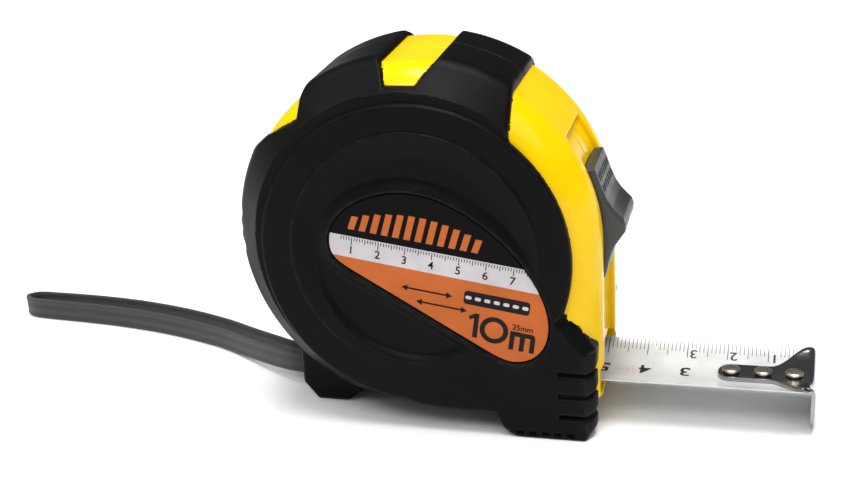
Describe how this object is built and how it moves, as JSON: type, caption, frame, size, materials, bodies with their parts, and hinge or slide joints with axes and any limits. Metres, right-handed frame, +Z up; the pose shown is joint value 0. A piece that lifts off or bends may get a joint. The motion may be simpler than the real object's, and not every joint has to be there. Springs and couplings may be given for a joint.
{
  "type": "tape measure",
  "caption": "Pocket tape measure with a rounded yellow case in a black rubber jacket, a cupped blade with an end hook, a sliding lock, a belt clip and a wrist strap.",
  "frame": {"origin": "on the underside of the case's foot, in the middle of the case's width, below the blade's mouth", "axes": "+X forward, the way the blade pulls out; +Y across the case, towards the belt clip; +Z up"},
  "size_m": [0.2306, 0.0541, 0.093],
  "materials": {
    "yellow_case": "glossy moulded ABS",
    "black_jacket": "satin over-moulded rubber",
    "label_print": "printed film, satin",
    "reel_plastic": "moulded, matt",
    "blade_enamel": "gloss white enamel on spring steel",
    "plain_steel": "plain steel",
    "rivet_steel": "bright steel",
    "hook_plate": "bright nickel plate",
    "lock_plastic": "moulded, satin",
    "brake_rubber": "matt",
    "black_webbing": "woven polyester band"
  },
  "bodies": {
    "case": {"near_case_shell": "yellow_case", "far_case_shell": "yellow_case", "near_jacket": "black_jacket", "far_jacket": "black_jacket", "label_badge": "label_print", "centre_post": "plain_steel", "power_spring": "plain_steel", "blade_run": "blade_enamel", "case_screw_1": "plain_steel", "case_screw_2": "plain_steel", "case_screw_3": "plain_steel", "belt_clip": "hook_plate", "belt_clip_screw": "plain_steel", "strap_pin": "plain_steel", "wrist_strap": "black_webbing"},
    "reel": {"spring_barrel": "reel_plastic", "near_reel_flange": "reel_plastic", "far_reel_flange": "reel_plastic", "blade_coil": "blade_enamel"},
    "blade": {"blade": "blade_enamel", "hook_rivet_1": "rivet_steel", "hook_rivet_2": "rivet_steel", "hook_rivet_3": "rivet_steel"},
    "hook": {"end_hook": "hook_plate"},
    "lock": {"lock_button": "lock_plastic", "lock_arm": "lock_plastic", "brake_pad": "brake_rubber"}
  },
  "joints": [
    {"name": "reel_spin", "type": "hinge", "parent": "case", "child": "reel", "pos_m": [-0.0317, 0, 0.0465], "axis": [0, -1, 0], "range_deg": [-89.6, 18.4]},
    {"name": "blade_slide", "type": "slide", "parent": "case", "child": "blade", "axis": [1, 0, 0], "range_m": [-0.0487, 0.0102]},
    {"name": "hook_play", "type": "slide", "parent": "blade", "child": "hook", "axis": [1, 0, 0], "range_m": [0, 0.001]},
    {"name": "lock_travel", "type": "hinge", "parent": "case", "child": "lock", "pos_m": [-0.032, 0, 0.0475], "axis": [0, -1, 0], "range_deg": [0, 11]}
  ],
  "couplings": [
    {"joint": "blade_slide", "follows": "reel_spin", "m_per_rad": 0.031}
  ]
}
